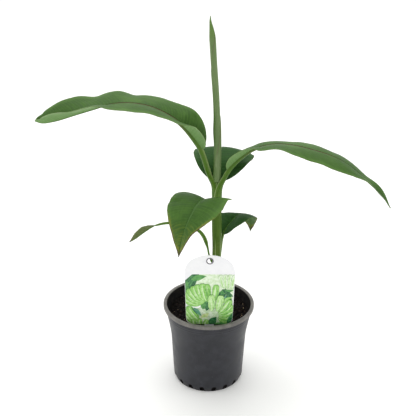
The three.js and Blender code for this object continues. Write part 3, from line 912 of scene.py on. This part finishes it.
# The midrib of a leaf is a smooth route of [out, side, up]: out from the plant's axis along the
# heading, side to the left of it, up from the floor. Each row of folds is [share of the blade,
# lift of its left half, lift of its right half], in degrees. age is how far the tip, the left
# margin and the right margin have withered, wither is the same for the outer half as a whole, and
# blush is how mauve the midrib is. sheath is the height at which the leaf's sheath starts to open
# on the stem, and the height of its top, and layer is how far the stalk's foot stands off the
# stem. stalk_rows are [share of the whole route, radius], for an uneven stalk.
LEAVES = {
    "left_leaf": dict(
        heading=180,
        route=[
            [0, 0, 262], [5, 0, 282], [9, 0, 295], [13, 0, 308], [17, 0, 321], [21.5, 0, 333],
            [29, 0, 345], [41, 0, 360.5], [58, 0, 375.5], [82, 0, 387.5], [106, 0, 391.5],
            [130, 0, 389.5], [152, 0, 382.5], [174, 0, 375], [196, 0, 367.5], [213, 0, 364.5],
            [221.5, 0, 367],
        ],
        stalk_share=0.24, half_widths=[35, 35], base_share=0.3, tip_share=0.42, tip_power=3.2,
        tip_round=0.5, stalk_radius=4.3, layer=0.15, sheath=(280, 322),
        folds=[
            [0, 50, 56], [0.14, 35, 39], [0.22, 14, 17], [0.3, 10, 5], [0.45, 3, -3], [0.57, 8, 7],
            [0.65, 23, 6], [0.78, 29, 24], [0.9, 42, 36], [1, 42, 36],
        ],
        finish="leaf", age=(0.0, 0.12, 0.12), blush=0.75,
    ),
    "right_leaf": dict(
        heading=0,
        route=[
            [0, -3, 256], [3, -5, 279], [8, -4, 294.5], [13, -2, 304], [21, 0, 314], [30, 0, 323],
            [40, 0, 331], [53, 0, 337], [70, 0, 340.5], [94, 0, 339], [116, 0, 333.5],
            [138, 0, 326.5], [156, 0, 317.5], [174, 0, 303.5], [190, 0, 288.5], [206, 0, 273],
            [219, 0, 254.5],
        ],
        stalk_share=0.17, half_widths=[33, 33], base_share=0.4, tip_share=0.44, tip_power=1.6,
        stalk_radius=4, layer=0.45, sheath=(258, 306),
        folds=[
            [0, 20, 60], [0.06, 8, 48], [0.12, -6, 38], [0.17, -13, 27], [0.21, -14, 13],
            [0.3, -17, 7], [0.37, -16, -1], [0.5, -10, -6], [0.6, -9, -11], [0.7, -2, -5],
            [0.8, 2, 11], [0.92, 27, 0], [1, 30, 0],
        ],
        finish="leaf", age=(0.1, 0.14, 0.2), blush=0.8,
    ),
    "back_leaf": dict(
        heading=85,
        route=[
            [2, 0, 262], [6, 0, 282], [14, 0, 298], [26, 0, 310], [40, 0, 315.5], [56, 0, 313],
            [74, 0, 303.5], [92, 0, 290], [108, 0, 274.5], [122, 0, 258],
        ],
        stalk_share=0.14, half_widths=[34.5, 44.5], base_share=0.34, tip_share=0.3, tip_power=1.5,
        stalk_radius=3.4, layer=0.3, sheath=(248, 290),
        folds=[[0, 30, 30], [0.15, 8, 6], [0.3, -8, -10], [0.7, -10, -12], [1, 0, 0]],
        finish="dark_leaf", age=(0.1, 0.14, 0.14), blush=0.3, ripple=0.06,
    ),
    "front_leaf": dict(
        heading=-115,
        route=[
            [2, 0, 238], [8, 0, 252], [17, 0, 264], [28, 0, 275], [38, 0, 281.5], [48, 0, 283.5],
            [60, 0, 281.5], [72, 0, 276.5], [84, 0, 269.5], [95, 0, 259.5], [102, 0, 249],
            [107, 0, 235],
        ],
        stalk_share=0.3, half_widths=[36, 39], base_share=0.12, tip_share=0.33, tip_power=1.28,
        stalk_radius=3, layer=0.5, sheath=(212, 256),
        folds=[
            [0, 14, 13], [0.08, 11, 3], [0.2, 11, -4], [0.35, 5, -9], [0.5, 7, -6], [0.6, 12, -9],
            [0.75, 30, -17], [1, 42, -24],
        ],
        finish="leaf", age=(0.72, 1.0, 0.9), wither=0.24, blush=0.0,
    ),
    "lower_right_leaf": dict(
        heading=50,
        route=[
            [3, 0, 170], [8.5, 0, 192], [10, 0, 201], [13, 0, 209], [19, 0, 216], [28, 0, 221],
            [38, 0, 225], [48, 0, 226], [58, 0, 222.5], [66, 0, 214], [70, 0, 203], [71, 0, 191],
        ],
        stalk_share=0.32, half_widths=[27, 27], base_share=0.55, tip_share=0.45, tip_power=1.1,
        stalk_radius=2.4, layer=0.25, sheath=(138, 196),
        folds=[
            [0, 10, 25], [0.3, -2, 16], [0.42, -12, 10], [0.55, -22, 2], [0.8, -10, -8], [1, 15, 15],
        ],
        finish="dark_leaf", age=(0.85, 0.55, 0.7), blush=0.0,
    ),
    "lower_left_leaf": dict(
        heading=190,
        route=[
            [3, 0, 166], [8.5, 0, 182], [11.5, 0, 198], [15.5, 0, 212], [22, 0, 222],
            [35, 0, 230.5], [50, 0, 235.5], [65, 0, 237], [79, 0, 234], [92, 0, 226],
            [104, 0, 217], [112, 0, 212.5],
        ],
        stalk_share=0.76, half_widths=[14, 14], base_share=0.6, tip_share=0.5, tip_power=1.6,
        stalk_radius=1.5, layer=0.2, sheath=(120, 190),
        stalk_rows=[
            [0, 1.6], [0.16, 1.5], [0.2, 1.8], [0.26, 3.1], [0.34, 3.3], [0.5, 3], [0.62, 3],
            [0.67, 2.9], [0.73, 2.4], [0.76, 1.23],
        ],
        folds=[[0, 34, -20], [0.4, 54, 4], [1, 50, 5]],
        finish="old_leaf", age=(0.95, 0.75, 0.75), blush=0.0,
    ),
}

BLADE_THICKNESS = 0.55
MARGIN_THINNING = 0.55  # how much of its thickness a blade loses toward its margin
BLADE_ARCH = 0.05  # how far each half bulges, against its width
VEIN_RELIEF, SKIN_RELIEF = 0.11, 0.05
FIBRE_RUN = 30  # length of one unit of the run attribute
BLADE_RIPPLE = 0.035  # of the half width, at the margin
RIPPLE_WAVES = [(2.3, 0.5), (4.7, 0.35), (9.1, 0.2)]  # how many along the blade, and how high
STALK_TAPER = 0.82
RIB_TIP_RADIUS = 0.55
VEIN_PITCH = 4.0  # between two side veins, along the midrib
VEIN_SLANT = 0.1  # how far a side vein leans to the tip, against the blade's length
STATION_PITCH = 0.5
BLADE_COLUMNS = 26


def leaf_route(leaf):
    heading = math.radians(leaf["heading"])
    out = np.array([math.cos(heading), math.sin(heading), 0])
    lateral = np.array([-out[1], out[0], 0])
    axis = np.array([PLANT_X, 0, 0])
    points = [axis + out * along + lateral * side + [0, 0, up] for along, side, up in leaf["route"]]
    return Route(points, lateral)


def half_width(leaf, share, hand):
    """Half width of a blade: an elliptical base, near parallel sides and a drawn-out tip."""
    base = np.sqrt(1 - (1 - np.minimum(share / leaf["base_share"], 1)) ** 2)
    past = np.maximum((share - leaf["tip_share"]) / (1 - leaf["tip_share"]), 0)
    tip = (1 - past ** leaf["tip_power"]) ** leaf.get("tip_round", 1)
    return leaf["half_widths"][0 if hand > 0 else 1] * base * tip


def rib_radius(leaf, share):
    """Radius of the midrib, from where the stalk meets the blade to the tip."""
    return mix(leaf["stalk_radius"] * STALK_TAPER, RIB_TIP_RADIUS, np.clip(share, 0, 1) ** 0.75)


def lift_of(leaf, share, hand):
    return np.radians(keyed(leaf["folds"], share, 1 if hand > 0 else 2))


def there_and_back(outer, inner):
    """Rings that run along an outer grid and return along an inner one."""
    return np.concatenate([outer, inner[:, ::-1]], 1)


def blade_half(leaf, route, hand, seed):
    """Upper and lower skin of one half of a blade, as rings, with each point's attributes."""
    draw = np.random.default_rng(seed)
    length = route.length * (1 - leaf["stalk_share"])
    even = np.linspace(0, 1, int(length / STATION_PITCH))[:, None]
    station = mix(even, (1 - np.cos(np.pi * even)) / 2, 0.5)
    across = np.linspace(0, 1, BLADE_COLUMNS)[None, :] ** 1.1
    share = station + VEIN_SLANT * across**1.5 * 4 * station * (1 - station)
    place = leaf["stalk_share"] + share * (1 - leaf["stalk_share"])
    side, top = route.frame(place)
    lift = lift_of(leaf, share, hand)[..., None]
    root = 0.82 * rib_radius(leaf, share)
    width = np.maximum(half_width(leaf, share, hand), root * 1.05)
    reach = (root + across * (width - root))[..., None]
    outward = hand * side * np.cos(lift) + top * np.sin(lift)
    normal = top * np.cos(lift) - hand * side * np.sin(lift)
    arch = BLADE_ARCH * width * 4 * across * (1 - across)
    starts = draw.uniform(0, 2 * np.pi, len(RIPPLE_WAVES))
    swing = sum(
        size * np.sin(2 * np.pi * count * share + start)
        for (count, size), start in zip(RIPPLE_WAVES, starts)
    )
    ripple = leaf.get("ripple", BLADE_RIPPLE) * width * across**2.5 * swing
    sheet = route.at(place) + outward * reach + normal * (arch + ripple)[..., None]
    skin = unit(np.cross(np.gradient(sheet, axis=0), np.gradient(sheet, axis=1) + 1e-9))
    skin *= np.sign((skin * normal).sum(-1, keepdims=True))
    vein = station * length / VEIN_PITCH + 0 * across
    crest = (0.5 + 0.5 * np.cos(2 * np.pi * vein)) ** 5
    window = ease(across, 0, 0.05) * (1 - ease(across, 0.9, 1.0)) * ease(width, 3, 12)
    relief = VEIN_RELIEF * crest * window + SKIN_RELIEF * rumple(sheet, 6.0, seed + 40)
    thick = BLADE_THICKNESS * (1 - MARGIN_THINNING * across)
    upper = sheet - skin * relief[..., None]
    lower = sheet - skin * (thick + relief)[..., None]
    margin_age = leaf["age"][1 if hand > 0 else 2]
    tint = margin_age * ease(across, 0.7, 1.02) * ease(share, 0.3, 0.85)
    tint = np.maximum(tint, leaf["age"][0] * ease(share + 0.06 * across, 0.8, 1.02))
    tint = np.maximum(tint, leaf.get("wither", 0) * ease(share, 0.35, 0.8))
    values = {"share": share, "across": across + 0 * share, "vein": vein, "age": tint}
    return there_and_back(upper, lower), {k: there_and_back(v, v) for k, v in values.items()}


def build_blade(name, leaf, route, seed, finishes):
    halves = [blade_half(leaf, route, hand, seed + hand) for hand in (1, -1)]
    bodies = [loft(rings) for rings, _ in halves]
    for index, (_, _, uv) in enumerate(bodies):
        uv[..., 0] = uv[..., 0] / 2 + index / 2
    mesh = to_mesh(name + "_blade", join(bodies))
    left, right = (values for _, values in halves)
    set_attributes(mesh, **{key: np.r_[left[key].ravel(), right[key].ravel()] for key in left})
    under = []
    for rings, _ in halves:
        count, columns = rings.shape[:2]
        column = np.tile(np.arange(columns), count - 1)
        lower = (column >= BLADE_COLUMNS) & (column < 2 * BLADE_COLUMNS - 1)
        under.append(np.r_[lower, np.zeros(columns - 2, bool)])
    mesh.polygons.foreach_set("material_index", np.concatenate(under).astype(np.int32))
    nodes = [name + "_blade_inner", name + "_blade_outer"]
    add_piece(name + "_blade", mesh, finishes[leaf["finish"]], leaf["finish"], *nodes)


def axis_at(height):
    """Centre and radius of the pseudostem, or of the rolled leaf above it, at a height."""
    stem_heights, spear_heights = STEM.points[:, 2], SPEAR.points[:, 2]
    low = height < FORK_HEIGHT
    x = np.where(low, np.interp(height, stem_heights, STEM.points[:, 0]),
                 np.interp(height, spear_heights, SPEAR.points[:, 0]))
    stem_share = np.interp(height, stem_heights, STEM.shares)
    spear_share = np.interp(height, spear_heights, SPEAR.shares)
    stem = mix(keyed(STEM_RADII, stem_share), SPEAR_RADII[0][1], ease(height, 270, FORK_HEIGHT))
    radius = np.where(low, stem, keyed(SPEAR_RADII, spear_share))
    return np.stack([x, 0 * height, height], -1), radius


STALK_ARC = 22
SHEATH_HALF_ANGLE = 128
CLASP_RISE = 14  # height over which a stalk's foot comes out of the stem
FREE_FROM, FREE_AT = 0.5, 10.5  # distance from the stem at which a stalk lets go of it


def build_stalk(name, leaf, route, finish):
    """A channelled stalk that clasps the stem at its foot and runs on as the leaf's midrib."""
    join_share = leaf["stalk_share"]
    place = np.r_[np.linspace(0, join_share, 90), np.linspace(join_share, 1, 150)[1:]]
    blade = np.clip((place - join_share) / (1 - join_share), 0, 1)
    centre = route.at(place)
    side, top = route.frame(place)
    axis, stem_radius = axis_at(centre[:, 2])
    away = np.hypot(*(centre - axis)[:, :2].T)
    free = np.where(place < join_share, ease(away, FREE_FROM, FREE_AT), 1.0)
    free = np.maximum.accumulate(free)
    stalk = leaf["stalk_radius"] * mix(1, STALK_TAPER, np.clip(place / join_share, 0, 1))
    if "stalk_rows" in leaf:
        stalk = keyed(leaf["stalk_rows"], place)
    own = np.where(place < join_share, stalk, rib_radius(leaf, blade))
    rise = ease(centre[:, 2] - centre[0, 2], 0, CLASP_RISE)
    clasp = stem_radius * mix(0.93, 1, rise) + leaf["layer"] * rise
    radius = mix(clasp, own, free)
    centre = mix(axis, centre, free[:, None])
    lift_left, lift_right = (np.degrees(lift_of(leaf, blade, hand)) for hand in (1, -1))
    tight = ease(free, 0, 0.9)
    end_left = np.radians(mix(SHEATH_HALF_ANGLE, 90 + lift_left, tight))
    end_right = np.radians(mix(SHEATH_HALF_ANGLE, 90 + lift_right, tight))
    t = np.linspace(0, 1, STALK_ARC)
    angle = mix(-end_right[:, None], end_left[:, None], t[None, :])
    centred = np.cos((t - 0.5) * np.pi)[None, :] ** 2
    middle = mix(0.16, mix(0.78, 0.9, ease(blade, 0, 0.2)), free)[:, None]
    edge = mix(0.04, 0.24, free)[:, None]
    depth = mix(edge, middle, centred)
    ray = np.sin(angle)[..., None] * side[:, None] - np.cos(angle)[..., None] * top[:, None]
    fibre = 1 + 0.012 * np.sin(angle * 13 + leaf["heading"]) * free[:, None]
    outer = centre[:, None] + ray * (radius[:, None] * fibre)[..., None]
    inner = centre[:, None] + ray * (radius[:, None] * (1 - depth))[..., None]
    rings = there_and_back(outer, inner)
    rings -= (top * (0.25 * ease(blade, 0, 0.05))[:, None])[:, None]
    mesh = to_mesh(name + "_stalk", loft(rings), 60)
    upper = np.repeat([[0.0, 1.0]], STALK_ARC, axis=1)
    even = np.ones((1, 2 * STALK_ARC))
    blush = leaf["blush"] * ease(blade, 0.05, 0.25) * (1 - ease(blade, 0.5, 0.7))
    rim = (np.abs(t - 0.5) * 2)[None, :] ** 12 * (1 - ease(blade, 0, 0.1))[:, None]
    set_attributes(
        mesh,
        turn=there_and_back(angle, angle),
        run=(place * route.length / FIBRE_RUN)[:, None] * even,
        blush=blush[:, None] * mix(0.45, 1, upper),
        leafy=ease(blade, 0, 0.16)[:, None] * mix(0.3, 0.9, upper),
        edge=there_and_back(rim, rim),
    )
    add_piece(name + "_stalk", mesh, [finish], "stalk", name + "_stalk")


STEM_COLUMNS = 160
STEM_STATIONS = 240
SHEATH_STEP = 0.5
SHEATH_FADE = 26
SHEATH_TOP_HALF = 62  # half angle that a sheath still covers at the top of its V


def tube(route, share, turn, radius):
    """Rings round a route, from columns of shares, a row of turns and a grid of radii."""
    side, top = route.frame(share[:, 0])
    ray = np.cos(turn)[..., None] * side[:, None] + np.sin(turn)[..., None] * top[:, None]
    return route.at(share[:, 0])[:, None] + ray * radius[..., None]


def build_stem():
    """The pseudostem: one sheath over another, each open in a V on the side away from its leaf."""
    share = np.linspace(0, 1, STEM_STATIONS)[:, None]
    turn = np.arange(STEM_COLUMNS)[None, :] / STEM_COLUMNS * 2 * np.pi
    height = STEM.at(share)[..., 0, 2][:, None]
    radius = axis_at(height[:, 0])[1][:, None] + 0 * turn
    edges = 0 * radius
    for leaf in LEAVES.values():
        low, high = leaf["sheath"]
        opening = mix(180, SHEATH_TOP_HALF, np.clip((height - low) / (high - low), 0, 1) ** 0.7)
        around = np.degrees(turn) - leaf["heading"]
        distance = np.abs((around + 180) % 360 - 180)
        past = (distance - opening) * np.pi / 180 * radius
        there = (height > low) * (1 - ease(height, high, high + SHEATH_FADE))
        radius = radius - SHEATH_STEP * ease(past, -0.25, 0.25) * there
        edges = np.maximum(edges, np.exp(-((past / 0.5) ** 2)) * there)
    radius += 0.05 * np.sin(23 * turn + 2 * np.sin(height / 31))
    radius += 0.035 * np.sin(41 * turn + height / 40)
    radius += 0.14 * np.sin(height / 17 + 2 * np.cos(turn))
    rings = tube(STEM, share, turn, radius)
    mesh = to_mesh("stem_sheaths", loft(rings))
    set_attributes(mesh, turn=turn + 0 * radius, run=height / FIBRE_RUN + 0 * radius, edge=edges)
    add_piece("stem_sheaths", mesh, [stem_finish()], "stem", "pseudostem")


SPEAR_COLUMNS = 120
SPEAR_STATIONS = 300
SPEAR_TURNS = 1.6  # how often the rolled margin winds round the spear
SPEAR_LAP = 0.7
SPEAR_RUN = 40
FLAP_HEIGHT, FLAP_REACH, FLAP_SIZE = 356, 13, 0.9  # where the margin stands off on the left


def build_spear():
    """The rolled new leaf: a spiral in section, whose free margin winds slowly round it."""
    share = np.linspace(0, 1, SPEAR_STATIONS)[:, None]
    turn = np.arange(SPEAR_COLUMNS)[None, :] / SPEAR_COLUMNS * 2 * np.pi
    height = SPEAR.at(share)[..., 0, 2][:, None]
    radius = keyed(SPEAR_RADII, share) + 0 * turn
    seam = 1.05 * np.pi + 2 * np.pi * SPEAR_TURNS * share**1.2
    round_seam = (turn - seam) % (2 * np.pi) / (2 * np.pi)
    lap = SPEAR_LAP * (0.5 - round_seam) * (1 - ease(share, 0.93, 1)) * ease(share, 0, 0.05)
    flap = FLAP_SIZE * np.exp(-(((height - FLAP_HEIGHT) / FLAP_REACH) ** 2))
    flap = flap * np.clip(np.cos(turn - np.pi * 1.05), 0, 1) ** 3
    ribs = 0.045 * np.sin(19 * turn + 1.5 * np.sin(height / 40))
    radius = radius + np.minimum(lap, 0.3 * radius) + flap + ribs * (radius > 1)
    rings = tube(SPEAR, share, turn, radius)
    mesh = to_mesh("spear_roll", loft(rings), 60)
    from_seam = np.minimum(round_seam, 1 - round_seam) * 2 * np.pi * radius
    set_attributes(
        mesh,
        turn=turn + 0 * radius,
        run=height / SPEAR_RUN + 0 * radius,
        edge=np.exp(-((from_seam / 0.35) ** 2)),
        # shade marks painted shade: the spear's side toward the left leaf, up to about its height.
        shade=np.clip(np.cos(turn - np.pi), 0, 1) ** 2 * (1 - ease(height, 372, 400)),
    )
    add_piece("spear_roll", mesh, [spear_finish()], "rolled_leaf", "spear_leaf")


def build_plant():
    finishes = {
        "leaf": (
            blade_finish("leaf_top", "32521b", "476b28", "597e37", 0.47, 0.12),
            blade_finish("leaf_under", "5f8545", "75975c", "8dab74", 0.55),
        ),
        "dark_leaf": (
            blade_finish("dark_leaf_top", "234419", "315826", "45663a", 0.5, 0.07),
            blade_finish("dark_leaf_under", "43632f", "567543", "6b8a57", 0.55),
        ),
        "old_leaf": (
            blade_finish("old_leaf_top", "465427", "586531", "6f7d47", 0.5),
            blade_finish("old_leaf_under", "576638", "6d7c4a", "84915f", 0.6),
        ),
    }
    stalk = stalk_finish()
    build_stem()
    build_spear()
    for index, (name, leaf) in enumerate(LEAVES.items()):
        route = leaf_route(leaf)
        build_blade(name, leaf, route, 100 + 10 * index, finishes)
        build_stalk(name, leaf, route, stalk)


# ---------------------------------------------------------------- studio

CAMERA_PLACE = (0.0, -1.073, 0.786)
CAMERA_PITCH = 26.46  # degrees below level
CAMERA_ROLL = 0.62
LENS, SENSOR = 82.2, 36.0
SHIFT_X = -0.0043
FLOOR_REACH = 8.0
SKY_STRENGTH = 0.93
LIGHT_TARGET = Vector((0, 0, 0.22))
LIGHTS = [  # name, place, size and power
    ("softbox_top", (-0.3, 0.75, 2.0), (2.2, 1.8), 24),
    ("softbox_left", (-1.5, -0.1, 0.7), (0.8, 1.3), 4),
    ("softbox_right", (1.5, -0.1, 0.7), (0.8, 1.3), 4),
]


def build_studio():
    mesh = bpy.data.meshes.new("studio_floor")
    corners = [(x * FLOOR_REACH, y * FLOOR_REACH, 0) for x, y in ((-1, -1), (1, -1), (1, 1), (-1, 1))]
    mesh.from_pydata(corners, [], [(0, 1, 2, 3)])
    floor = add_object("studio_floor", mesh)
    paper = Finish("studio_paper", 0.9, 0.1)
    paper.tone = colour("f6f6f4")
    mesh.materials.append(paper.done())

    world = bpy.data.worlds.new("studio")
    bpy.context.scene.world = world
    world.use_nodes = True
    background = world.node_tree.nodes["Background"]
    background.inputs["Color"].default_value = (1, 1, 1, 1)
    background.inputs["Strength"].default_value = SKY_STRENGTH

    for name, place, size, power in LIGHTS:
        light = bpy.data.lights.new(name, "AREA")
        light.shape, light.size, light.size_y = "RECTANGLE", *size
        light.energy = power
        lamp = add_object(name, light)
        lamp.location = place
        lamp.rotation_euler = (LIGHT_TARGET - Vector(place)).to_track_quat("-Z", "Y").to_euler()

    camera = add_object("camera", bpy.data.cameras.new("camera"))
    camera.data.lens, camera.data.sensor_width, camera.data.shift_x = LENS, SENSOR, SHIFT_X
    pitch = Matrix.Rotation(math.radians(90 - CAMERA_PITCH), 4, "X")
    roll = Matrix.Rotation(math.radians(CAMERA_ROLL), 4, "Z")
    camera.matrix_world = Matrix.Translation(CAMERA_PLACE) @ pitch @ roll
    bpy.context.scene.camera = camera
    bpy.context.scene.view_settings.view_transform = "Standard"


build_studio()
build_pot()
build_soil()
build_label()
build_plant()
